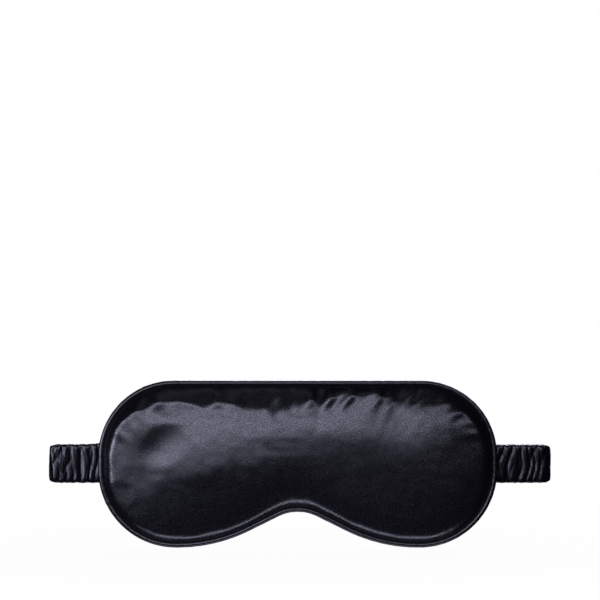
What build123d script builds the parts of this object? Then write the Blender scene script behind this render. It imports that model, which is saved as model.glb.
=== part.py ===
"""Padded sleep mask with a piped edge and a ruched elastic strap.

Upright as worn: the front faces -Y, +Z is up and X runs across the face. The origin is on the
rearmost plane of the back panel, on the mirror plane, at mid-height of the mask. Every soft piece
that crosses a joint is cut there into a left and a right solid.
"""
from build123d import *
import os
from math import cos, radians, sin, sqrt, tan

# Outline of the mask over its piping
MASK_WIDTH = 215.8
MASK_HEIGHT = 90.4
BROW_RADIUS = 41.0
LOBE_RADIUS = 42.0
FLANK_ANGLE = 26.3
NOSE_RISE = 22.0
NOSE_RADIUS = 23.4

# Thickness of the padding in front of and behind the seam
FRONT_DEPTH = 8.0
BACK_DEPTH = 6.5
PANEL_WALL = 0.5
LINER_WALL = 0.4
LAYER_GAP = 0.15
SEAM_ALLOWANCE = 9.0
# Padding profile: distance in from the panel's edge, and share of the depth reached there
CROWN = ((0.0, 0.0), (3.2, 0.45), (8.0, 0.8), (17.0, 1.0))

# Piped edge and its seam
PIPING_DIAMETER = 3.0
PIPING_WALL = 0.3
PIPING_CORD_GAP = 0.1
SEAM_GAP = 0.5
THREAD_DIAMETER = 0.3

# Ruched strap: a satin casing round a flat elastic band
STRAP_HEIGHT = 21.0
CASING_WALL = 0.7
BAND_HEIGHT = 16.0
BAND_THICKNESS = 0.9
BAND_GAP = 0.15
STRAP_OVERHANG = 27.1
FOLD_SPACE_MIN = 1.0
STRAP_TO_BACK = 0.4
STRAP_TO_PIPING = 0.3
TAB_MARGIN = 0.5
TAB_LENGTH = 5.5
TAB_THICKNESS = 0.8
TACK_WIDTH = 2.0
TACK_THICKNESS = 0.4
TACK_MARGIN = 1.5

# Clearance left at each cut where two bodies or two lengths of strap meet
CUT_GAP = 0.15
FILLET_SHARE = 0.96

SEAM_Y = -BACK_DEPTH
FRONT_Y = SEAM_Y - FRONT_DEPTH
HALF_WIDTH = MASK_WIDTH / 2
HALF_HEIGHT = MASK_HEIGHT / 2
PIPING_INSET = PIPING_DIAMETER / 2
PANEL_INSET = PIPING_DIAMETER + LAYER_GAP
PIPING_BORE = PIPING_DIAMETER - 2 * PIPING_WALL
LAYER_STEP = PANEL_WALL + LAYER_GAP
STRAP_THICKNESS = BAND_THICKNESS + 2 * (CASING_WALL + BAND_GAP)
SIDES = {"left": -1, "right": 1}

# Strap planes, from the mask backwards: the front run leaves the seam behind the piping
STUB_FRONT_Y = SEAM_Y + PIPING_DIAMETER / 2 + STRAP_TO_PIPING
STUB_MIDDLE_Y = STUB_FRONT_Y + STRAP_THICKNESS / 2
BACK_RUN_FRONT_Y = max(STUB_FRONT_Y + STRAP_THICKNESS + FOLD_SPACE_MIN, STRAP_TO_BACK)
BACK_RUN_MIDDLE_Y = BACK_RUN_FRONT_Y + STRAP_THICKNESS / 2
FOLD_RADIUS = (BACK_RUN_MIDDLE_Y - STUB_MIDDLE_Y) / 2
FOLD_Y = (BACK_RUN_MIDDLE_Y + STUB_MIDDLE_Y) / 2
STRAP_END_X = HALF_WIDTH + STRAP_OVERHANG
FOLD_X = STRAP_END_X - FOLD_RADIUS - STRAP_THICKNESS / 2
SEAM_X = HALF_WIDTH - PIPING_INSET


def corners(inset):
    """Half width, half height, foot of the flank and top of the nose notch, all moved in by inset."""
    half_width = HALF_WIDTH - inset
    half_height = HALF_HEIGHT - inset
    nose_z = -HALF_HEIGHT + NOSE_RISE + inset / cos(radians(FLANK_ANGLE))
    foot_x = (nose_z + half_height) / tan(radians(FLANK_ANGLE))
    return half_width, half_height, foot_x, nose_z


def corner_radii(inset):
    """Radii of brow, lobe, flank and nose, each limited by the straight edges beside it."""
    half_width, half_height, foot_x, nose_z = corners(inset)
    limit = FILLET_SHARE * half_height
    brow = min(BROW_RADIUS - inset, limit)
    lobe = min(LOBE_RADIUS - inset, limit, FILLET_SHARE * (half_width - foot_x))
    half_turn = radians(FLANK_ANGLE)
    flank_length = foot_x / cos(half_turn)
    nose = min(NOSE_RADIUS + inset, FILLET_SHARE * flank_length / 2 / tan(half_turn))
    room = min(half_width - lobe - foot_x, flank_length - nose * tan(half_turn))
    flank = FILLET_SHARE * room / tan(half_turn / 2)
    return brow, lobe, flank, nose


def outline(inset):
    """Flat face of the mask's outline, moved in from the outer edge of the piping by inset."""
    half_width, half_height, foot_x, nose_z = corners(inset)
    brow, lobe, flank, nose = corner_radii(inset)
    points = [
        (-half_width, half_height),
        (-half_width, -half_height),
        (-foot_x, -half_height),
        (0, nose_z),
        (foot_x, -half_height),
        (half_width, -half_height),
        (half_width, half_height),
    ]
    radii = [brow, lobe, flank, nose, flank, lobe, brow]
    return make_face(FilletPolyline(*points, radius=radii, close=True))


def edge_path(inset):
    """Left half of the outline as one open line, from the top middle to the nose notch."""
    half_width, half_height, foot_x, nose_z = corners(inset)
    brow, lobe, flank, nose = corner_radii(inset)
    angle = radians(FLANK_ANGLE)
    run = nose * tan(angle)
    tangent = (-run * cos(angle), nose_z - run * sin(angle))
    points = [
        (-CUT_GAP, half_height),
        (-half_width, half_height),
        (-half_width, -half_height),
        (-foot_x, -half_height),
        tangent,
    ]
    centre_z = nose_z - nose / cos(angle)
    start_angle = 90 + FLANK_ANGLE
    end_angle = 90 + FLANK_ANGLE * CUT_GAP / max(tangent[0] * -1, CUT_GAP)
    nose_arc = CenterArc((0, centre_z), nose, start_angle, end_angle - start_angle)
    flat = FilletPolyline(*points, radius=[brow, lobe, flank]) + nose_arc
    return Plane((0, SEAM_Y, 0), x_dir=(1, 0, 0), z_dir=(0, -1, 0)) * flat


def pillow(edge, seam_y, face_y):
    """Crowned closed form that rises from the outline at seam_y to a flat at face_y."""
    sections = []
    for inset, share in CROWN:
        height = seam_y + share * (face_y - seam_y)
        plane = Plane((0, height, 0), x_dir=(1, 0, 0), z_dir=(0, -1, 0))
        sections.append(plane * outline(edge + inset))
    return loft(sections, ruled=True)


def half(solid, side):
    """The part of a solid on one side of the mirror plane, clear of it by CUT_GAP."""
    plane = Plane((side * CUT_GAP, 0, 0), x_dir=(0, 1, 0), z_dir=(side, 0, 0))
    return split(solid, bisect_by=plane, keep=Keep.TOP)


def shell(edge, seam_y, face_y, wall):
    """A pillow of cloth, open at the seam, with an even wall."""
    inward = 1 if seam_y > face_y else -1
    return pillow(edge, seam_y, face_y) - pillow(edge + wall, seam_y, face_y + inward * wall)


def panels():
    """Front and back covers of silk satin, turned in at the seam."""
    front = shell(PANEL_INSET, SEAM_Y - SEAM_GAP / 2, FRONT_Y, PANEL_WALL)
    back = shell(PANEL_INSET, SEAM_Y + SEAM_GAP / 2, 0, PANEL_WALL)
    return {"front_panel": front, "back_panel": back}


def liners():
    """Thin inner covers that carry the padding, one layer inside the panels."""
    edge = PANEL_INSET + LAYER_STEP
    front = shell(edge, SEAM_Y - SEAM_GAP / 2, FRONT_Y + LAYER_STEP, LINER_WALL)
    back = shell(edge, SEAM_Y + SEAM_GAP / 2, -LAYER_STEP, LINER_WALL)
    return {"front_liner": front, "back_liner": back}


def filling():
    """Soft wadding between the liners, stopping short of the seam allowance."""
    step = LAYER_STEP + LINER_WALL + LAYER_GAP
    front = pillow(PANEL_INSET + step, SEAM_Y, FRONT_Y + step)
    back = pillow(PANEL_INSET + step, SEAM_Y, -step)
    plane = Plane((0, FRONT_Y, 0), x_dir=(1, 0, 0), z_dir=(0, -1, 0))
    core = extrude(plane * outline(PANEL_INSET + SEAM_ALLOWANCE), FRONT_Y)
    return {"filling": (front + back) & core}


def tube(path, diameter):
    """Round bar of the given diameter along a path."""
    start = Plane(origin=path @ 0, z_dir=path % 0)
    return sweep(start * Circle(diameter / 2), path=path)


def piping():
    """Bias-cut satin tube wrapped round a cotton cord, on the outer edge of the mask."""
    path = edge_path(PIPING_INSET)
    cover = tube(path, PIPING_DIAMETER) - tube(path, PIPING_BORE)
    cord = tube(path, PIPING_BORE - 2 * PIPING_CORD_GAP)
    return {"piping_cover": cover, "piping_cord": cord}


def seam_thread():
    """Sewing thread that closes the panels onto the piping."""
    path = edge_path(PANEL_INSET + PANEL_WALL / 2)
    return {"seam_thread": tube(path, THREAD_DIAMETER)}


def block(low, high):
    """Box between two corners."""
    size = [b - a for a, b in zip(low, high)]
    middle = [(a + b) / 2 for a, b in zip(low, high)]
    return Pos(*middle) * Box(*size)


def tab_inset():
    """Depth of the strap's end in the mask, with its corners clear of the curve of the liners."""
    half_height = corners(PANEL_INSET)[1]
    radius = max(corner_radii(PANEL_INSET)[:2])
    beyond_straight = max(STRAP_HEIGHT / 2 - (half_height - radius), 0)
    sag = radius - sqrt(radius**2 - beyond_straight**2)
    return PANEL_INSET + LAYER_STEP + LINER_WALL + TAB_MARGIN + sag


def strap_tab(side):
    """Flat end of the strap caught in the seam allowance, with the bar tack that holds it."""
    outer = HALF_WIDTH - tab_inset()
    low_x, high_x = sorted((side * outer, side * (outer - TAB_LENGTH)))
    half_tab = STRAP_HEIGHT / 2
    tab = block(
        (low_x, SEAM_Y - TAB_THICKNESS / 2, -half_tab),
        (high_x, SEAM_Y + TAB_THICKNESS / 2, half_tab),
    )
    middle_x = (low_x + high_x) / 2
    tack_back = SEAM_Y - TAB_THICKNESS / 2
    half_tack = half_tab - TACK_MARGIN
    tack = block(
        (middle_x - TACK_WIDTH / 2, tack_back - TACK_THICKNESS, -half_tack),
        (middle_x + TACK_WIDTH / 2, tack_back, half_tack),
    )
    return {"strap_tab": tab, "bar_tack": tack}


def strap_run(start_x, end_x, middle_y):
    """Straight length of strap between two places: the casing as a flat tube, the band inside."""
    low_x, high_x = sorted((start_x, end_x))

    def bar(thickness, height):
        return block(
            (low_x, middle_y - thickness / 2, -height / 2),
            (high_x, middle_y + thickness / 2, height / 2),
        )

    slot = bar(STRAP_THICKNESS - 2 * CASING_WALL, STRAP_HEIGHT - 2 * CASING_WALL)
    return bar(STRAP_THICKNESS, STRAP_HEIGHT) - slot, bar(BAND_THICKNESS, BAND_HEIGHT)


def strap_fold(side):
    """Half turn of the strap at its outer end: casing and band."""
    outer_side = side * (FOLD_RADIUS + STRAP_THICKNESS)

    def bend(thickness, height):
        ring = Circle(FOLD_RADIUS + thickness / 2) - Circle(FOLD_RADIUS - thickness / 2)
        window = Pos(outer_side / 2 + side * CUT_GAP, 0) * Rectangle(
            abs(outer_side), 2 * abs(outer_side)
        )
        return Pos(side * FOLD_X, FOLD_Y, -height / 2) * extrude(ring & window, height)

    slot = bend(STRAP_THICKNESS - 2 * CASING_WALL, STRAP_HEIGHT - 2 * CASING_WALL)
    return bend(STRAP_THICKNESS, STRAP_HEIGHT) - slot, bend(BAND_THICKNESS, BAND_HEIGHT)


def strap(side):
    """One side of the strap: the front run, the fold and half of the run behind the mask."""
    front_run = strap_run(side * SEAM_X, side * FOLD_X, STUB_MIDDLE_Y)
    fold = strap_fold(side)
    back_run = strap_run(side * CUT_GAP, side * FOLD_X, BACK_RUN_MIDDLE_Y)
    return {
        "strap_front_casing": front_run[0],
        "strap_front_band": front_run[1],
        "strap_fold_casing": fold[0],
        "strap_fold_band": fold[1],
        "strap_back_casing": back_run[0],
        "strap_back_band": back_run[1],
    }


def write(name, solid):
    """Write one node."""
    export_step(solid, f"parts/{name}.step")


os.makedirs("parts", exist_ok=True)

padding = {**panels(), **liners(), **filling()}
edging = {**piping(), **seam_thread()}
for word, side in SIDES.items():
    for name, solid in padding.items():
        write(f"{name}_{word}", half(solid, side))
    for name, solid in edging.items():
        write(f"{name}_{word}", solid if side < 0 else mirror(solid, about=Plane.YZ))
    for name, solid in {**strap_tab(side), **strap(side)}.items():
        write(f"{name}_{word}", solid)

print("seam hinge", SEAM_X, STUB_MIDDLE_Y, "fold", FOLD_X, FOLD_Y, "apex", BACK_RUN_FRONT_Y)
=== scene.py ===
"""Black satin sleep mask: padded, piped all round, on a ruched elastic strap."""
from math import pi, radians

import bmesh
import bpy
import numpy as np
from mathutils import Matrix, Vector


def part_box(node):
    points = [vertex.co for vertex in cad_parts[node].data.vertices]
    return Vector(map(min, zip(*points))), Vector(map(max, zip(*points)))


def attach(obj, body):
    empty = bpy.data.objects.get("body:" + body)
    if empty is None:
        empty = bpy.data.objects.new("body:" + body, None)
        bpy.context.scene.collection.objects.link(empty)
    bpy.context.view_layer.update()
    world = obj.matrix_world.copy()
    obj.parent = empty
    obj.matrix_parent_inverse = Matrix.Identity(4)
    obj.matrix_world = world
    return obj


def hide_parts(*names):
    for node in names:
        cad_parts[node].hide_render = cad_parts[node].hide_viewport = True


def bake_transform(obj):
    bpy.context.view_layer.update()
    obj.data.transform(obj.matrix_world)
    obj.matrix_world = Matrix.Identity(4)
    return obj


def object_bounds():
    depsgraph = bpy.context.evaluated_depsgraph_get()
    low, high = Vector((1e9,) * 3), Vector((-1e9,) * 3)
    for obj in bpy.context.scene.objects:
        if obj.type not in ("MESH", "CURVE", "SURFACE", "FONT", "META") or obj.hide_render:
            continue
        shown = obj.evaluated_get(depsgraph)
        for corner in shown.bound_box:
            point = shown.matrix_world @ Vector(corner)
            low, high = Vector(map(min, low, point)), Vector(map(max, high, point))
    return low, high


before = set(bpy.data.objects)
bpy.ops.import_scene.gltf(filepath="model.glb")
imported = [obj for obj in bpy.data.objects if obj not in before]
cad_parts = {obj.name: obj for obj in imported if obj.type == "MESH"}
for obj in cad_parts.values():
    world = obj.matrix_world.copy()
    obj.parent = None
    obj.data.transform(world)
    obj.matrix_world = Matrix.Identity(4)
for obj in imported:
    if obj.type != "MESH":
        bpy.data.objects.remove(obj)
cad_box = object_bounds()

MM = 0.001

# ---------------------------------------------------------------- camera
# The mask is seen square-on from its front, a little below the middle of the picture.
VIEW_WIDTH = 324.1 * MM
LENS = 180.0
SENSOR = 36.0
VIEW_RISE = 88.7 * MM
VIEW_SHIFT = 1.2 * MM

camera_data = bpy.data.cameras.new("camera")
camera_data.lens = LENS
camera_data.sensor_width = SENSOR
camera_data.clip_start = 0.01
camera = bpy.data.objects.new("camera", camera_data)
bpy.context.collection.objects.link(camera)
front_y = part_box("piping_cover_left")[0][1]
camera.location = (VIEW_SHIFT, front_y - VIEW_WIDTH * LENS / SENSOR, VIEW_RISE)
camera.rotation_euler = (pi / 2, 0, 0)
bpy.context.scene.camera = camera


# ---------------------------------------------------------------- light and stage
# A pale table and wall with no edge between them. Six soft boxes stand in front of the mask, the
# largest above it and to its left, and two behind light its back.
def linear(code):
    """sRGB hex code to linear red, green, blue and alpha."""
    value = np.array([int(code[i : i + 2], 16) for i in (1, 3, 5)]) / 255
    curved = np.where(value <= 0.04045, value / 12.92, ((value + 0.055) / 1.055) ** 2.4)
    return (*curved.tolist(), 1.0)


def add(tree, kind, settings=None, links=None, **fields):
    """A shader node: fields are its properties, settings its socket values, links its inputs."""
    node = tree.nodes.new(kind)
    for name, value in fields.items():
        setattr(node, name, value)
    for name, value in (settings or {}).items():
        node.inputs[name].default_value = value
    for name, source in (links or {}).items():
        tree.links.new(source, node.inputs[name])
    return node


def soft_box(name, place, target, width, height, watts):
    """A rectangular area light at place, turned to face target."""
    light = bpy.data.lights.new(name, "AREA")
    light.shape = "RECTANGLE"
    light.size = width
    light.size_y = height
    light.energy = watts
    box = bpy.data.objects.new(name, light)
    bpy.context.collection.objects.link(box)
    box.location = place
    box.rotation_euler = (Vector(target) - Vector(place)).to_track_quat("-Z", "Y").to_euler()
    return box


# Name, place, what it faces, width, height in metres and watts of each soft box.
SOFT_BOXES = (
    ("key_light", (-0.25, -0.94, 0.285), (0, 0, 0.01), 0.86, 0.28, 4.8),
    ("side_light", (-0.66, -0.50, 0.06), (-0.1, 0, 0), 0.32, 0.30, 3.6),
    ("fill_light", (-0.40, -0.95, -0.02), (0, 0, 0), 0.40, 0.26, 0.5),
    ("right_light", (0.44, -0.82, 0.36), (0.05, 0, 0.02), 0.30, 0.20, 0.9),
    ("low_light", (0.0, -0.13, -0.42), (0, -0.005, -0.03), 0.50, 0.10, 0.9),
    ("top_light", (-0.10, -0.30, 0.75), (0, 0, 0.03), 0.50, 0.16, 0.14),
    ("back_light", (0.25, 0.85, 0.60), (0, 0, 0), 0.8, 0.5, 13.0),
    ("behind_light", (0.70, 0.85, 0.10), (0, 0, 0), 0.60, 0.50, 3.0),
)
LAMP_COLOUR = (0.74, 0.75, 1.0)
for size in SOFT_BOXES:
    light = soft_box(*size)
    light.data.color = LAMP_COLOUR
    light.visible_camera = False

# Only the lens sees the wall as white; the satin mirrors a dim bluish studio.
STUDIO_DIMNESS = 0.03
world = bpy.data.worlds.new("studio")
bpy.context.scene.world = world
world.use_nodes = True
world.node_tree.nodes.clear()
tree = world.node_tree
path = add(tree, "ShaderNodeLightPath")
seen = add(tree, "ShaderNodeBackground", {"Color": (1, 1, 1, 1), "Strength": 1.0})
felt = add(
    tree, "ShaderNodeBackground", {"Color": linear("#cfd6ee"), "Strength": STUDIO_DIMNESS},
)
mix = add(
    tree, "ShaderNodeMixShader",
    links={0: path.outputs["Is Camera Ray"], 1: felt.outputs[0], 2: seen.outputs[0]},
)
add(tree, "ShaderNodeOutputWorld", links={"Surface": mix.outputs[0]})
bpy.context.scene.view_settings.view_transform = "Standard"


def new_mesh(name, points, faces):
    """Mesh object from an array of points and a list or array of faces."""
    mesh = bpy.data.meshes.new(name)
    mesh.from_pydata(points.reshape(-1, 3).tolist(), [], [list(map(int, f)) for f in faces])
    mesh.validate()
    mesh.update()
    thing = bpy.data.objects.new(name, mesh)
    bpy.context.collection.objects.link(thing)
    return thing


def material(name):
    """An empty node material and its Principled shader."""
    made = bpy.data.materials.new(name)
    made.use_nodes = True
    made.node_tree.nodes.clear()
    shader = add(made.node_tree, "ShaderNodeBsdfPrincipled")
    add(made.node_tree, "ShaderNodeOutputMaterial", links={"Surface": shader.outputs[0]})
    return made, made.node_tree, shader


# Pale painted board: matt near the mask, glowing like the wall further out so no edge shows.
PAINT = "#f4f4f5"
FLOOR_Z = cad_box[0][2] - 0.3 * MM
FLOOR_REACH = 6.0
FADE_START = 0.12
FADE_END = 0.40
FLOOR_GLOW = 0.97
board, tree, shader = material("painted_board")
shader.inputs["Base Color"].default_value = linear(PAINT)
shader.inputs["Roughness"].default_value = 0.9
shader.inputs["Specular IOR Level"].default_value = 0.1
place = add(tree, "ShaderNodeTexCoord")
reach = add(tree, "ShaderNodeVectorMath", operation="LENGTH", links={0: place.outputs["Object"]})
fade = add(
    tree, "ShaderNodeMapRange",
    {"From Min": FADE_START, "From Max": FADE_END, "To Min": FLOOR_GLOW},
    {"Value": reach.outputs["Value"]},
    interpolation_type="SMOOTHSTEP",
)
glow = add(tree, "ShaderNodeEmission", {"Color": (1, 1, 1, 1), "Strength": 1.0})
blend_shader = add(
    tree, "ShaderNodeMixShader",
    links={0: fade.outputs[0], 1: shader.outputs[0], 2: glow.outputs[0]},
)
output = next(n for n in tree.nodes if n.type == "OUTPUT_MATERIAL")
tree.links.new(blend_shader.outputs[0], output.inputs["Surface"])
corner = np.array([[-1, -1, 0], [1, -1, 0], [1, 1, 0], [-1, 1, 0]]) * FLOOR_REACH
floor = new_mesh("floor", corner + [0, 0, FLOOR_Z], [[0, 1, 2, 3]])
floor.data.materials.append(board)
floor.visible_glossy = False
floor.visible_diffuse = False
floor.visible_shadow = False

# ---------------------------------------------------------------- outline
# The cutting line of the mask: straight over the brow, round at both sides, two shallow lobes
# below and a soft notch for the nose. Taken from the box of the piping.
edge_low = np.array(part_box("piping_cover_left")[0]) / MM
edge_high = np.array(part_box("piping_cover_right")[1]) / MM
HALF_WIDTH = edge_high[0]
HALF_HEIGHT = edge_high[2]
SEAM_Y = (edge_low[1] + edge_high[1]) / 2
PIPING_RADIUS = (edge_high[1] - edge_low[1]) / 2
BROW_RADIUS = 41.0
LOBE_RADIUS = 42.0
FLANK_ANGLE = radians(26.3)
NOSE_RISE = 22.0
NOSE_RADIUS = 23.4
FLANK_SHARE = 0.96
LINE_STEP = 0.05


def cutting_line():
    """Left half of the outer edge, from the brow's middle to the nose, every 0.05 mm.

    Straight runs and arcs are laid end to end: heading is the sum of the turns so far, and
    place is the sum of short steps along the heading.
    """
    foot = NOSE_RISE / np.tan(FLANK_ANGLE)
    flank_length = NOSE_RISE / np.sin(FLANK_ANGLE)
    nose_run = NOSE_RADIUS * np.tan(FLANK_ANGLE)
    room = min(HALF_WIDTH - LOBE_RADIUS - foot, flank_length - nose_run)
    flank_run = FLANK_SHARE * room
    flank_radius = flank_run / np.tan(FLANK_ANGLE / 2)
    runs = (
        (HALF_WIDTH - BROW_RADIUS, 0),
        (BROW_RADIUS * pi / 2, pi / 2),
        (2 * HALF_HEIGHT - BROW_RADIUS - LOBE_RADIUS, 0),
        (LOBE_RADIUS * pi / 2, pi / 2),
        (HALF_WIDTH - LOBE_RADIUS - foot - flank_run, 0),
        (flank_radius * FLANK_ANGLE, FLANK_ANGLE),
        (flank_length - flank_run - nose_run, 0),
        (NOSE_RADIUS * FLANK_ANGLE, -FLANK_ANGLE),
    )
    lengths = np.array([run[0] for run in runs])
    turns = np.array([run[1] for run in runs])
    ends = np.concatenate([[0], np.cumsum(lengths)])
    count = int(ends[-1] / LINE_STEP)
    along = (np.arange(count) + 0.5) * ends[-1] / count
    heading = pi + np.interp(along, ends, np.concatenate([[0], np.cumsum(turns)]))
    x = np.concatenate([[0], np.cumsum(np.cos(heading))]) * ends[-1] / count
    z = np.concatenate([[0], np.cumsum(np.sin(heading))]) * ends[-1] / count + HALF_HEIGHT
    at = np.linspace(0, ends[-1], count + 1)
    turned = np.interp(at, along, heading)
    return at, x, z, turned


LINE_AT, LINE_X, LINE_Z, LINE_HEADING = cutting_line()
HALF_LENGTH = LINE_AT[-1]


def edge(along, inset):
    """Points x, z on the edge moved in by inset; along runs 0..2 half lengths round the loop."""
    along = np.mod(along, 2 * HALF_LENGTH)
    right = along > HALF_LENGTH
    reached = np.where(right, 2 * HALF_LENGTH - along, along)
    x = np.interp(reached, LINE_AT, LINE_X)
    z = np.interp(reached, LINE_AT, LINE_Z)
    heading = np.interp(reached, LINE_AT, LINE_HEADING)
    x = x - inset * np.sin(heading)
    z = z + inset * np.cos(heading)
    return np.where(right, -x, x), z


# ---------------------------------------------------------------- satin
# Black silk charmeuse: warp floats lie along the cloth, so it shines in long soft streaks. The
# thread is 0.12 mm and too fine to show, so the grain is drawn at 0.4 to 0.6 mm. Some threads lie
# flatter than others, which is why its gloss glitters finely.
GLINT_SPREAD = 0.08


def satin(name, colour, roughness, grain, grain_height, shine=0.6):
    """Satin with a cross grain of the given size and height in metres, whose roughness varies
    by GLINT_SPREAD from thread to thread; shine is how much of the light it mirrors."""
    made, tree, shader = material(name)
    shader.inputs["Base Color"].default_value = linear(colour)
    shader.inputs["Specular IOR Level"].default_value = shine
    shader.inputs["Sheen Weight"].default_value = 0.02
    shader.inputs["Sheen Roughness"].default_value = 0.3
    shader.inputs["Sheen Tint"].default_value = linear("#8a8ca8")
    place = add(tree, "ShaderNodeTexCoord")
    scaled = add(
        tree, "ShaderNodeMapping", {"Scale": (1 / grain, 1 / grain, 0.75 / grain)},
        {"Vector": place.outputs["Object"]},
    )
    threads = add(
        tree, "ShaderNodeTexNoise", {"Scale": 1.0, "Detail": 2.0, "Roughness": 0.6},
        {"Vector": scaled.outputs[0]},
    )
    bump = add(
        tree, "ShaderNodeBump", {"Strength": 0.5, "Distance": grain_height},
        {"Height": threads.outputs["Fac"]},
    )
    glints = add(
        tree, "ShaderNodeTexNoise", {"Scale": 1.3, "Detail": 0.0},
        {"Vector": scaled.outputs[0]},
    )
    gloss = add(
        tree, "ShaderNodeMapRange",
        {"From Min": 0.3, "From Max": 0.7,
         "To Min": roughness - GLINT_SPREAD, "To Max": roughness + GLINT_SPREAD},
        {"Value": glints.outputs["Fac"]},
    )
    tree.links.new(bump.outputs[0], shader.inputs["Normal"])
    tree.links.new(gloss.outputs[0], shader.inputs["Roughness"])
    return made


def waves(along, across, lengths, seed, wander=1.0, loop=2 * HALF_LENGTH):
    """Sum of sine waves along a cloth, each with its own phase that drifts across it.

    Every wave fits a whole number of times into loop, so it meets itself round the mask's edge.
    """
    draw = np.random.default_rng(seed)
    total = np.zeros(np.broadcast(along, across).shape)
    turn = 2 * pi * along / loop
    for length in lengths:
        phase, drift, slow = draw.uniform(0, 2 * pi, 3)
        bend = wander * np.sin(across * 2 * pi / (6 * length) + drift)
        pace = 1.1 * np.sin(3 * turn + slow) + 0.7 * np.sin(7 * turn + drift)
        total = total + np.sin(round(loop / length) * turn + phase + bend + pace)
    return total / len(lengths)


def grid_faces(rows, columns, closed, flip=False):
    """Quads of a grid whose columns close on themselves when closed is true."""
    row, column = np.meshgrid(np.arange(rows - 1), np.arange(columns - (not closed)), indexing="ij")
    row, column = row.ravel(), column.ravel()
    beside = (column + 1) % columns
    quads = np.stack(
        [row * columns + column, row * columns + beside,
         (row + 1) * columns + beside, (row + 1) * columns + column], axis=1,
    )
    return quads[:, ::-1] if flip else quads


# ---------------------------------------------------------------- padded panels
# Front and back covers of charmeuse over wadding, cut to the same line and sewn to the piping.
# The seam pulls the cloth into short puckers, and the padding swells between them.
AROUND = 900
ROWS = 84
SPINE_REACH = 66.0
SPINE_SHARE = 0.72
SPINE_Z = 5.5
ROW_CROWDING = 1.35
FRONT_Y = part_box("front_panel_left")[0][1] / MM
BACK_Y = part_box("back_panel_left")[1][1] / MM
LOFT = 1.18
BACK_LOFT = 0.95
# The back cover lies just in front of the strap, and turns level over this many square mm.
STRAP_PRESS = 0.05
PRESS_SOFTNESS = 0.1
BACK_LIP = (-1, 1)
# Heights z over which the edge turns from side to brow, and from side to lobe.
BROW_FROM_TO = (6, 32)
LOBE_FROM_TO = (2, 26)
# Width of the roll in mm: along the brow, beside the strap and round the lobes.
BROW_AT = (-105, -95, -80, -62, -40, -10, 2, 14, 24, 40, 52, 60, 72, 90, 105)
BROW_ROLL = (4, 6, 9, 11, 11.5, 13.5, 11, 7, 4.5, 4, 7, 11, 12, 7, 4)
SIDE_ROLL = 4.5
LOBE_ROLL = 3.4
# How uneven the roll is all round, and where the brow's right half is gathered.
ROLL_UNEVEN = 0.16
ROLL_WAVES = (17, 29, 41)
GATHER_X = 28
GATHER_REACH = 34
GATHER_UNEVEN = 0.50
GATHER_WAVES = (9, 13, 21)
# Share of the height that the lip and the roll take; the dome takes the rest.
LIP_SHARE = 0.17
LIP_WIDTH = 1.4
BROW_SHARE = 0.58
SIDE_SHARE = 0.46
LOBE_SHARE = 0.36
# Roundness of the corner between roll and dome: sharpest over the left brow.
LEFT_CORNER = 0.02
RIGHT_CORNER = 0.10
RIGHT_FROM_TO = (-20, 10)
LOW_CORNER = 0.16
# Short puckers at the stitches: heights in mm over all, on the right brow and in the notch.
SHORT_WAVES = (4.6, 6.4, 9.1)
SHORT_PUCKER = 0.10
BROW_PUCKER = 0.25
BROW_PUCKER_FROM_TO = (-15, 15)
NOTCH_PUCKER = 0.4
NOTCH_REACH = 16
NOTCH_FROM_TO = (4, 16)
PULL_START = 1.1
PULL_REACH = 3.6
# Longer puckers that lean across the roll below the brow.
LEAN_WAVES = (11, 16)
LEAN_PUCKER = 0.42
LEAN_DEPTH = 7
LEAN_REACH = 5
# Faint unevenness of the wadding under the dome.
MOTTLE_WAVES = (13, 21)
CROSS_MOTTLE_WAVES = (17, 26)
MOTTLE_HEIGHT = 0.10
MOTTLE_WANDER = 1.8
MOTTLE_LOOP = 400.0
MOTTLE_FROM_TO = (8, 18)
FOLDS_FROM_TO = (2, 9)
# Soft folds: middle x and z, slope in degrees, half length, half width and height, all in mm.
SOFT_FOLDS = (
    (-33, -1, 11, 30, 7, 1.15),
    (-74, 11, 42, 20, 12, -2.4),
    (-54, -8, 75, 18, 11, 0.40),
    (35, 16, 0, 18, 7, 0.55),
    (12, 21, -35, 12, 6, 0.25),
    (-12, 22, 25, 14, 6, 0.25),
)
# The cover as the cloth solver takes it: light, hard to stretch and easy to bend.
CHARMEUSE_CLOTH = {
    "quality": 6,
    "mass": 0.02,
    "tension_stiffness": 15,
    "compression_stiffness": 15,
    "shear_stiffness": 5,
    "bending_stiffness": 0.5,
    "air_damping": 5,
    "vertex_group_mass": "sewn",
    "use_pressure": True,
    "uniform_pressure_force": 4.0,
}
CLOTH_STEP = 2.5
CLOTH_FRAMES = 24
CLOTH_CAP = 1.2
CLOTH_FROM_TO = (1, 14)
SEWN_DEPTH = 1.5
EDGE_POINTS = 700
WELD = 0.02 * MM

charmeuse = satin("silk_charmeuse", "#050509", 0.28, 0.55 * MM, 0.17 * MM)


def panel_grid(rim, rows=ROWS, around=AROUND):
    """Rings x, z from the rim to a spine across the mask, with each point's place and depth.

    A ring is the edge drawn towards the spine by a share that starts slowly at the rim, and
    depth is how far the point has come from its own place on the edge.
    """
    along = np.linspace(0, 2 * HALF_LENGTH, around, endpoint=False)
    edge_x, edge_z = edge(along, rim)
    spine_x = np.clip(edge_x * SPINE_SHARE, -SPINE_REACH, SPINE_REACH)
    share = np.linspace(0, 1, rows)[:, None] ** ROW_CROWDING
    x = edge_x + (spine_x - edge_x) * share
    z = edge_z + (SPINE_Z - edge_z) * share
    depth = np.hypot(x - edge_x, z - edge_z)
    return np.broadcast_to(along, x.shape), x, z, depth, share


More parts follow.
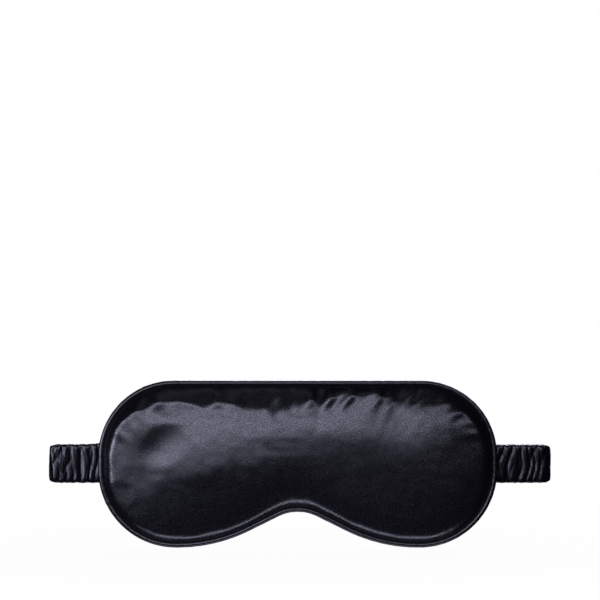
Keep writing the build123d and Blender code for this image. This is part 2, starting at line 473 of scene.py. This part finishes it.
def smooth(value, low, high):
    """0 below low, 1 above high, and 3t^2 - 2t^3 between, where t is the share of the way."""
    t = np.clip((value - low) / (high - low), 0, 1)
    return t * t * (3 - 2 * t)


def roll_width(along, puckers, seed):
    """Width in mm of the steep roll beside the seam: wide over the left brow, narrow and uneven
    over the right where the stitches gather the cloth, and narrow round the lobes. Waves along
    the edge make it uneven. Also how far the edge has turned to brow, and to lobe."""
    at_x, at_z = edge(along, 0)
    up = smooth(at_z, *BROW_FROM_TO)
    down = smooth(-at_z, *LOBE_FROM_TO)
    below = SIDE_ROLL * (1 - down) + LOBE_ROLL * down
    wide = up * np.interp(at_x, BROW_AT, BROW_ROLL) + (1 - up) * below
    gathered = up * np.exp(-(((at_x - GATHER_X) / GATHER_REACH) ** 2))
    wide = wide * (1 + puckers * GATHER_UNEVEN * gathered * waves(along, 0, GATHER_WAVES, seed + 4))
    return wide * (1 + puckers * ROLL_UNEVEN * waves(along, 0, ROLL_WAVES, seed + 1)), up, down


def smooth_cover(x, depth, share, wide, up, down):
    """Height of a cover before it puckers, as a share of its loft.

    Lip: 1 - e^(-depth / LIP_WIDTH). Roll: (t + 1 - sqrt((t - 1)^2 + corner)) / 2, which climbs
    to 1 where depth is its width and t is 1, with a round corner. Dome: 1 - (1 - share)^2.
    """
    roll_share = BROW_SHARE * up + (1 - up) * (SIDE_SHARE * (1 - down) + LOBE_SHARE * down)
    t = depth / wide
    corner = LEFT_CORNER + RIGHT_CORNER * smooth(x, *RIGHT_FROM_TO)
    corner = corner + LOW_CORNER * (1 - up) + LOW_CORNER * down
    roll = (t + 1 - np.sqrt((t - 1) ** 2 + corner)) / 2
    start = (1 - np.sqrt(1 + corner)) / 2
    roll = (roll - start) / (1 - start)
    lip = 1 - np.exp(-depth / LIP_WIDTH)
    dome = 1 - (1 - share) ** 2
    return LIP_SHARE * lip + roll_share * roll + (1 - LIP_SHARE - roll_share) * dome


def pucker(body, along, x, z, depth, up, side, seed):
    """Adds puckers to a cover's height in mm. Each kind is a sum of waves times how near the
    point is to where it belongs; side is their direction times their strength."""
    notch = np.exp(-((x / NOTCH_REACH) ** 2)) * smooth(-z, *NOTCH_FROM_TO)
    short = waves(along, depth, SHORT_WAVES, seed, 0.8)
    pull = np.exp(-depth / PULL_REACH) * (1 - np.exp(-depth / PULL_START))
    brow = BROW_PUCKER * up * smooth(x, *BROW_PUCKER_FROM_TO)
    body = body + side * (SHORT_PUCKER + brow + NOTCH_PUCKER * notch) * pull * short
    lean = waves(along - 0.5 * depth, depth, LEAN_WAVES, seed + 9, 0.6)
    near = np.exp(-(((depth - LEAN_DEPTH) / LEAN_REACH) ** 2))
    body = body + side * LEAN_PUCKER * up * lean * near
    mottle = waves(x + 0.5 * z, z, MOTTLE_WAVES, seed + 8, MOTTLE_WANDER, MOTTLE_LOOP)
    crossed = waves(z - 0.4 * x, x, CROSS_MOTTLE_WAVES, seed + 7, MOTTLE_WANDER, MOTTLE_LOOP)
    return body + side * MOTTLE_HEIGHT * (mottle * crossed) * smooth(depth, *MOTTLE_FROM_TO)


def panel_height(along, x, z, depth, share, face_y, puckers, seed):
    """Distance of a panel from the seam plane, in mm: the smooth cover, its puckers, and on the
    front the soft folds, each a hump e^(-u^2 - v^2) with u along the fold and v across it."""
    front = face_y < SEAM_Y
    rise = (face_y - SEAM_Y) * (LOFT if front else BACK_LOFT)
    wide, up, down = roll_width(along, puckers, seed)
    side = np.sign(rise) * puckers
    body = rise * smooth_cover(x, depth, share, wide, up, down)
    body = pucker(body, along, x, z, depth, up, side, seed)
    for middle_x, middle_z, slope, length, width, height in SOFT_FOLDS:
        across, upward = np.cos(radians(slope)), np.sin(radians(slope))
        u = ((x - middle_x) * across + (z - middle_z) * upward) / length
        v = ((z - middle_z) * across - (x - middle_x) * upward) / width
        fold = np.exp(-(u**2) - v**2) * smooth(depth, *FOLDS_FROM_TO)
        body = body + front * side * height * fold
    return body


def nearest_depth(x, z, rim):
    """Place along the edge and distance in from it of points x, z, by the nearest edge point;
    points outside the cutting line get a negative distance."""
    along = np.linspace(0, 2 * HALF_LENGTH, EDGE_POINTS, endpoint=False)
    edge_x, edge_z = edge(along, rim)
    inner_x, inner_z = edge(along, rim + 1)
    gap = np.hypot(x[..., None] - edge_x, z[..., None] - edge_z)
    nearest = gap.argmin(axis=-1)
    toward = (x - edge_x[nearest]) * (inner_x - edge_x)[nearest]
    toward = toward + (z - edge_z[nearest]) * (inner_z - edge_z)[nearest]
    return along[nearest], np.where(toward > 0, 1, -1) * gap.min(axis=-1)


def slack_cloth(face_y, rim, puckers, seed):
    """Cloth simulation of one cover: a sheet held at the seam, a little too large for it, blown
    out by the wadding. Returns the lattice lines x and z, and how far the sheet moved in y."""
    across = np.arange(-HALF_WIDTH, HALF_WIDTH + CLOTH_STEP, CLOTH_STEP)
    upward = np.arange(-HALF_HEIGHT, HALF_HEIGHT + CLOTH_STEP, CLOTH_STEP)
    z, x = np.meshgrid(upward, across, indexing="ij")
    along, depth = nearest_depth(x, z, rim)
    inside = np.maximum(depth, 0)
    share = smooth(inside, 0, HALF_HEIGHT)
    height = panel_height(along, x, z, inside, share, face_y, puckers, seed)
    points = np.stack([x, SEAM_Y + height, z], axis=-1) * MM
    flip = face_y > SEAM_Y
    sheet = new_mesh("slack_sheet", points, grid_faces(*x.shape, False, flip))
    sewn = sheet.vertex_groups.new(name="sewn")
    sewn.add(np.flatnonzero(depth.ravel() < SEWN_DEPTH).tolist(), 1.0, "REPLACE")
    cloth = sheet.modifiers.new("cloth", "CLOTH")
    for name, value in CHARMEUSE_CLOTH.items():
        setattr(cloth.settings, name, value)
    cloth.settings.effector_weights.gravity = 0
    cloth.collision_settings.use_collision = False
    cloth.point_cache.frame_start = 1
    cloth.point_cache.frame_end = CLOTH_FRAMES
    for number in range(1, CLOTH_FRAMES + 1):
        bpy.context.scene.frame_set(number)
    settled = sheet.evaluated_get(bpy.context.evaluated_depsgraph_get())
    moved = np.empty(x.size * 3, dtype=np.float32)
    settled.data.vertices.foreach_get("co", moved)
    moved = moved.reshape(*x.shape, 3)[..., 1] - points[..., 1]
    mesh = sheet.data
    bpy.data.objects.remove(sheet)
    bpy.data.meshes.remove(mesh)
    bpy.context.scene.frame_set(1)
    return across, upward, np.clip(moved / MM, -CLOTH_CAP, CLOTH_CAP)


def spline_weight(t):
    """Cubic B-spline weight of a corner t steps away: 2/3 - t^2 + t^3/2, then (2 - t)^3 / 6."""
    t = np.abs(t)
    return np.where(t < 1, 2 / 3 - t**2 + t**3 / 2, np.clip(2 - t, 0, 1) ** 3 / 6)


def read_lattice(across, upward, field, x, z):
    """Value of a lattice field at points x, z: the sum over four by four corners of the corner's
    value times its B-spline weight in x and in z."""
    u = np.clip((x - across[0]) / CLOTH_STEP, 1, len(across) - 2.001)
    v = np.clip((z - upward[0]) / CLOTH_STEP, 1, len(upward) - 2.001)
    i, j = u.astype(int), v.astype(int)
    total = np.zeros(x.shape)
    for m in range(-1, 3):
        for n in range(-1, 3):
            weight = spline_weight(u - i - m) * spline_weight(v - j - n)
            row = np.clip(j + n, 0, len(upward) - 1)
            column = np.clip(i + m, 0, len(across) - 1)
            total = total + weight * field[row, column]
    return total


def panel(name, face_y, rim, puckers, seed, rows=ROWS, around=AROUND):
    """A cover from the seam plane to about face_y, in mm, with puckers of the given strength. The
    back one is held level in front of the strap by the lesser of two heights, rounded where they
    cross: (a + b - sqrt((a - b)^2 + PRESS_SOFTNESS)) / 2."""
    along, x, z, depth, share = panel_grid(rim, rows, around)
    height = panel_height(along, x, z, depth, share, face_y, puckers, seed)
    if puckers:
        across, upward, moved = slack_cloth(face_y, rim, puckers, seed)
        moved = read_lattice(across, upward, moved, x, z)
        height = height + moved * smooth(depth, *CLOTH_FROM_TO)
    if face_y > SEAM_Y:
        most = face_y - SEAM_Y - STRAP_PRESS
        height = (height + most - np.sqrt((height - most) ** 2 + PRESS_SOFTNESS)) / 2
        height = height * smooth(depth, *BACK_LIP)
    points = np.stack([x, SEAM_Y + height, z], axis=-1)
    return new_mesh(name, points * MM, grid_faces(rows, around, True, flip=face_y > SEAM_Y))


def close_spine(thing):
    """Merge the two sides of a panel where they meet on the spine, and smooth it."""
    work = bmesh.new()
    work.from_mesh(thing.data)
    bmesh.ops.remove_doubles(work, verts=work.verts, dist=WELD)
    work.to_mesh(thing.data)
    work.free()
    thing.data.shade_smooth()
    return thing


def across_bridge(thing):
    """Bakes the object's transform into its mesh; it spans the bridge of the nose as one piece and
    does not bend there.
    """
    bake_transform(thing)


# The covers start under the inner side of the piping.
RIM = 1.55 * PIPING_RADIUS
front_panel = close_spine(panel("front_panel", FRONT_Y, RIM, 1.0, 11))
front_panel.data.materials.append(charmeuse)
across_bridge(front_panel)
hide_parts("front_panel_left", "front_panel_right")

back_panel = close_spine(panel("back_panel", BACK_Y, RIM, 0.8, 23))
back_panel.data.materials.append(charmeuse)
across_bridge(back_panel)
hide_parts("back_panel_left", "back_panel_right")

# ---------------------------------------------------------------- liners and wadding
# Two thin covers of plain lining cloth hold the wadding. They follow the panels a little way in.
LINER_STEP = 1.7
WADDING_STEP = 2.6
WADDING_INSET = 9
INNER = {"rows": 24, "around": 240}
# Blender's wave texture repeats this many times in one unit at scale 1.
WAVES_PER_UNIT = 20


def plain_cloth(name, colour, roughness, thread):
    """Cloth with a plain weave: two crossed bands of threads, multiplied; thread is their
    spacing in metres."""
    made, tree, shader = material(name)
    shader.inputs["Base Color"].default_value = linear(colour)
    shader.inputs["Roughness"].default_value = roughness
    place = add(tree, "ShaderNodeTexCoord")
    bands = [
        add(
            tree, "ShaderNodeTexWave",
            {"Scale": 1 / thread / WAVES_PER_UNIT, "Distortion": 0.4},
            {"Vector": place.outputs["Object"]}, bands_direction=direction,
        )
        for direction in ("X", "Z")
    ]
    woven = add(
        tree, "ShaderNodeMath", operation="MULTIPLY",
        links={0: bands[0].outputs["Fac"], 1: bands[1].outputs["Fac"]},
    )
    bump = add(
        tree, "ShaderNodeBump", {"Strength": 0.6, "Distance": thread / 2},
        {"Height": woven.outputs[0]},
    )
    tree.links.new(bump.outputs[0], shader.inputs["Normal"])
    return made


lining = plain_cloth("lining_cloth", "#1c1c22", 0.8, 0.5 * MM)
wadding = plain_cloth("polyester_wadding", "#e6e5e0", 0.95, 1.5 * MM)
for name, face_y, inward in (("front_liner", FRONT_Y, 1), ("back_liner", BACK_Y, -1)):
    liner = close_spine(panel(name, face_y + inward * LINER_STEP, RIM + LINER_STEP, 0, 0, **INNER))
    liner.data.materials.append(lining)
    across_bridge(liner)
    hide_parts(f"{name}_left", f"{name}_right")

halves = [
    panel(f"filling{n}", face_y, RIM + WADDING_INSET, 0, 0, **INNER)
    for n, face_y in enumerate((FRONT_Y + WADDING_STEP, BACK_Y - WADDING_STEP))
]
with bpy.context.temp_override(active_object=halves[0], selected_editable_objects=halves):
    bpy.ops.object.join()
filling = close_spine(halves[0])
filling.name = "filling"
filling.data.materials.append(wadding)
across_bridge(filling)
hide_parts("filling_left", "filling_right")

# ---------------------------------------------------------------- piping
# A bias strip of the same satin folded round a cotton cord. It is cut on the bias so it goes
# round the curves, and it twists a little, so its shine breaks up into short dashes. Its two
# ends lap at the left of the brow, which leaves a small bump.
PIPING_TURNS = 28
PIPING_STEPS = 1800
PIPING_FULLNESS = 0.98
PIPING_UNEVEN = 0.025
PIPING_WAVES = (3.7, 5.9, 8.3)
BIAS_PITCH = 7.0
BIAS_RIDGE = 0.5
LAP_PLACE = 83.5
LAP_REACH = 1.2
LAP_HEIGHT = 4
piping_satin = satin("bias_satin", "#07070b", 0.30, 0.4 * MM, 0.02 * MM)


def edge_tube(name, inset, radius, steps, turns, unevenness, seed):
    """Tube round the mask's edge: a circle in the plane across the edge. Its radius varies by
    unevenness times waves along it, a ridge that winds round it, and a hump where its ends lap."""
    along = np.linspace(0, 2 * HALF_LENGTH, steps, endpoint=False)[:, None]
    turn = np.linspace(0, 2 * pi, turns, endpoint=False)[None, :]
    bias = along * 2 * pi / BIAS_PITCH + turn
    ripple = waves(along, turn, PIPING_WAVES, seed, 0.6) + BIAS_RIDGE * np.sin(bias)
    lap = np.exp(-(((along - LAP_PLACE) / LAP_REACH) ** 2))
    reach = radius * (1 + unevenness * (ripple + LAP_HEIGHT * lap))
    x, z = edge(along, inset - reach * np.cos(turn))
    y = SEAM_Y + reach * np.sin(turn)
    points = np.stack([x, y, z], axis=-1)
    quads = grid_faces(steps, turns, True)
    last = (steps - 1) * turns
    around = np.arange(turns)
    beside = (around + 1) % turns
    join = np.stack([last + around, last + beside, beside, around], axis=1)
    made = new_mesh(name, points * MM, np.concatenate([quads, join])[:, ::-1])
    made.data.shade_smooth()
    return made


piping = edge_tube(
    "piping", PIPING_RADIUS, PIPING_RADIUS * PIPING_FULLNESS, PIPING_STEPS, PIPING_TURNS,
    PIPING_UNEVEN, 5,
)
piping.data.materials.append(piping_satin)
across_bridge(piping)
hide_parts("piping_cover_left", "piping_cover_right")

# Inside the piping runs a cotton cord, and beside it the seam's sewing thread.
cotton = plain_cloth("cotton_cord", "#d9d5c8", 0.9, 0.6 * MM)
thread = plain_cloth("polyester_thread", "#0c0c10", 0.6, 0.3 * MM)
CORD_RADIUS = 1.1
THREAD_RADIUS = 0.15
THREAD_INSET = 3.4
INNER_STEPS = 600
INNER_TURNS = 10
for name, inset, radius, finish, slot in (
    ("piping_cord", PIPING_RADIUS, CORD_RADIUS, cotton, "cotton_cord"),
    ("seam_thread", THREAD_INSET, THREAD_RADIUS, thread, "thread"),
):
    line = edge_tube(name, inset, radius, INNER_STEPS, INNER_TURNS, 0.0, 1)
    line.data.materials.append(finish)
    across_bridge(line)
    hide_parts(f"{name}_left", f"{name}_right")

# ---------------------------------------------------------------- ruched strap
# A satin tube half as long again as the elastic inside it. Sewn on under tension, it gathers
# into close uneven folds across the strap. It is one loop, cut in a fold where a joint ends.
STRAP_HALF_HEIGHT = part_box("strap_front_casing_left")[1][2] / MM
STRAP_FRONT = np.array(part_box("strap_front_casing_left")) / MM
STRAP_BACK = np.array(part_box("strap_back_casing_left")) / MM
STRAP_THICKNESS = STRAP_FRONT[1][1] - STRAP_FRONT[0][1]
FRONT_RUN_Y = (STRAP_FRONT[0][1] + STRAP_FRONT[1][1]) / 2
BACK_RUN_Y = (STRAP_BACK[0][1] + STRAP_BACK[1][1]) / 2
FOLD_X = -STRAP_FRONT[0][0]
SEAM_X = -STRAP_FRONT[1][0]
FOLD_RADIUS = (BACK_RUN_Y - FRONT_RUN_Y) / 2
FOLD_Y = (BACK_RUN_Y + FRONT_RUN_Y) / 2
FRONT_RUN = FOLD_X - SEAM_X
HALF_TURN = pi * FOLD_RADIUS
HALF_STRAP = FRONT_RUN + HALF_TURN + FOLD_X
FOLD_MARGIN = 3.4
MIDDLE_REACH = 30.0
RIGHT_SLACK = 0.08
STRAP_STEP = 0.28
SECTION_POINTS = 44
SECTION_SQUARENESS = 10
EDGE_CROWDING = 0.35
# Spacing in mm of the main folds, of those that cross them and of the fine ones, and the share
# of the height that each takes.
MAIN_SPACING, CROSS_SPACING, FINE_SPACING = 3.9, 6.1, 2.2
MAIN_SHARE, CROSS_SHARE, FINE_SHARE = 0.55, 0.33, 0.12
# The valleys go this far into the half thickness. In mm: how far the gathers scallop the
# edges, how far the left end flares at its seam, and how much the strap narrows as it folds.
GATHER_DEPTH = 0.78
SCALLOP = 0.45
SCALLOP_LEVEL = 0.6
FLARE = 0.9
FLARE_REACH = 9
PINCH = 0.7
PINCH_REACH = 3.0
# The gathers of the back face and of the edges are not those of the front.
FACE_SHIFT = 2.0
EDGE_SHIFT = 3.0
gathered_satin = satin("gathered_satin", "#06060a", 0.23, 0.4 * MM, 0.012 * MM, 0.26)


def strap_place(along, out, z):
    """Place of a point on the left half of the strap.

    along runs from the seam: out along the front run, round the fold as a half circle and back
    to x = 0. out is the distance from the strap's middle, away from the fold's centre.
    """
    front = along < FRONT_RUN
    back = along > FRONT_RUN + HALF_TURN
    turn = np.clip((along - FRONT_RUN) / HALF_TURN, 0, 1) * pi
    reach = FOLD_RADIUS + out
    x = -FOLD_X - reach * np.sin(turn)
    y = FOLD_Y - reach * np.cos(turn)
    x = np.where(front, -SEAM_X - along, x)
    x = np.where(back, -FOLD_X + along - FRONT_RUN - HALF_TURN, x)
    return np.stack(np.broadcast_arrays(x, y, z), axis=-1)


def gathers(along, z, seed):
    """Height from 0 to 1 of the gathered cloth: sharp valleys between round folds that wander,
    run together and part again across the strap. Each of three sets of folds is the size of a
    sine along the strap whose phase is bent by slower sines along it and across it."""
    bend = 0.9 * np.sin(z / 5.6 + along / 8.0 + seed) + 0.4 * np.sin(z / 2.9 - along / 5.1 + seed)
    pace = 0.9 * np.sin(along / 4.1 + seed) + 0.5 * np.sin(along / 2.6 - seed)
    first = np.abs(np.sin(pi * along / MAIN_SPACING + bend + pace))
    sway = 1.1 * np.sin(along / 6.7 + seed)
    second = np.abs(np.sin(pi * along / CROSS_SPACING - 0.9 * bend + sway))
    curl = 1.6 * np.sin(z / 4.1 + along / 5.5 + seed)
    fine = np.abs(np.sin(pi * along / FINE_SPACING + curl))
    return MAIN_SHARE * first**0.75 + CROSS_SHARE * second**0.8 + FINE_SHARE * fine


def strap_section(count):
    """Half section of a flat tube: share of its half height h, closer at the edges, and of its
    half thickness, sqrt(1 - h^10)."""
    share = np.linspace(0, 1, count, endpoint=False)
    height = (1 - EDGE_CROWDING) * (1 - 2 * share) + EDGE_CROWDING * np.cos(pi * share)
    return height, np.sqrt(np.clip(1 - np.abs(height) ** SECTION_SQUARENESS, 0, 1))


def strap_length(name, start, end, mirrored, half_height, half_thickness, ruche, seed):
    """A closed length of strap between two places along it: a flat tube, its faces drawn in by
    the gathers and its edges scalloped by them, with a flat cap at each end."""
    steps = max(int((end - start) / STRAP_STEP), 8)
    along = np.linspace(start, end, steps)[:, None]
    height, thickness = strap_section(SECTION_POINTS)
    height = np.concatenate([height, -height])[None, :]
    across = np.concatenate([thickness, -thickness])[None, :]
    turns = height.shape[1]
    fold = gathers(along, height * half_height + FACE_SHIFT * np.sign(across), seed)
    out = across * half_thickness * (1 - GATHER_DEPTH * ruche * (1 - fold))
    ends = gathers(along, EDGE_SHIFT * np.sign(height), seed + 2)
    scallop = SCALLOP * ruche * (ends - SCALLOP_LEVEL)
    flare = FLARE * ruche * np.exp(-along / FLARE_REACH) * (height > 0) * (not mirrored)
    at_fold = np.exp(-(((along - FRONT_RUN - HALF_TURN / 2) / PINCH_REACH) ** 2))
    z = height * (half_height + scallop + flare - PINCH * ruche * at_fold)
    points = strap_place(along, out, z)
    if mirrored:
        points = points * np.array([-1, 1, 1])
        beyond = np.maximum(points[..., 0] - SEAM_X, 0)
        points[..., 0] = points[..., 0] + beyond * RIGHT_SLACK
    caps = np.stack([points[0].mean(axis=0), points[-1].mean(axis=0)])
    flat = np.concatenate([points.reshape(-1, 3), caps])
    ring = np.arange(turns)
    beside = (ring + 1) % turns
    last_row = (steps - 1) * turns
    middle = np.full_like(ring, len(flat) - 2)
    first = np.stack([ring, beside, middle], axis=1)
    last = np.stack([last_row + beside, last_row + ring, middle + 1], axis=1)
    faces = [*grid_faces(steps, turns, True)[:, ::-1].tolist(), *first.tolist(), *last.tolist()]
    if mirrored:
        faces = [face[::-1] for face in faces]
    made = new_mesh(name, flat * MM, faces)
    made.data.shade_smooth()
    return made


fold_start = FRONT_RUN - FOLD_MARGIN
fold_end = FRONT_RUN + HALF_TURN + FOLD_MARGIN
middle_start = HALF_STRAP - MIDDLE_REACH
elastic = plain_cloth("woven_elastic", "#17171b", 0.7, 0.9 * MM)
BAND_HALF_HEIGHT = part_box("strap_front_band_left")[1][2] / MM
# The elastic is drawn thin enough to lie between the valleys of the casing's two faces.
BAND_HALF_THICKNESS = 0.2
CASING_HALF_HEIGHT = STRAP_HALF_HEIGHT - 0.2
CASING_HALF_THICKNESS = STRAP_THICKNESS / 2 + 0.1
LAYERS = {
    "casing": (CASING_HALF_HEIGHT, CASING_HALF_THICKNESS, 1.0, gathered_satin, "strap_satin"),
    "band": (BAND_HALF_HEIGHT, BAND_HALF_THICKNESS, 0.0, elastic, "elastic"),
}
SIDES = (("left", False, 0.0), ("right", True, 1.7))
for layer, (half_height, half_thickness, ruche, finish, slot) in LAYERS.items():
    for word, mirrored, seed in SIDES:
        front_body, back_body = f"strap_front_{word}", f"strap_back_{word}"
        size = (mirrored, half_height, half_thickness, ruche, seed)
        front = strap_length(f"strap_front_{layer}_{word}", 0.0, fold_start, *size)
        fold = strap_length(f"strap_fold_{layer}_{word}", fold_start, fold_end, *size)
        back = strap_length(f"strap_back_{layer}_{word}", fold_end, middle_start, *size)
        for piece, node in ((front, "front"), (fold, "fold"), (back, "back")):
            piece.data.materials.append(finish)
            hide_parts(f"strap_{node}_{layer}_{word}")
        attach(front, front_body)
        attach(back, back_body)
        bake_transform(fold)
    middles = [
        strap_length(f"strap_middle_{layer}_{n}", middle_start, HALF_STRAP, mirrored,
                     half_height, half_thickness, ruche, seed)
        for n, (_, mirrored, seed) in enumerate(SIDES)
    ]
    with bpy.context.temp_override(active_object=middles[0], selected_editable_objects=middles):
        bpy.ops.object.join()
    middle = middles[0]
    middle.name = f"strap_middle_{layer}"
    middle.data.materials.append(finish)
    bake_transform(middle)
    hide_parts(f"strap_back_{layer}_left", f"strap_back_{layer}_right")

# ---------------------------------------------------------------- strap ends
# The flat ends of the strap lie in the seam allowance, held by a bar tack each.
for word in ("left", "right"):
    for node, finish in (("strap_tab", gathered_satin), ("bar_tack", thread)):
        thing = bpy.data.objects[f"{node}_{word}"]
        thing.data.materials.clear()
        thing.data.materials.append(finish)
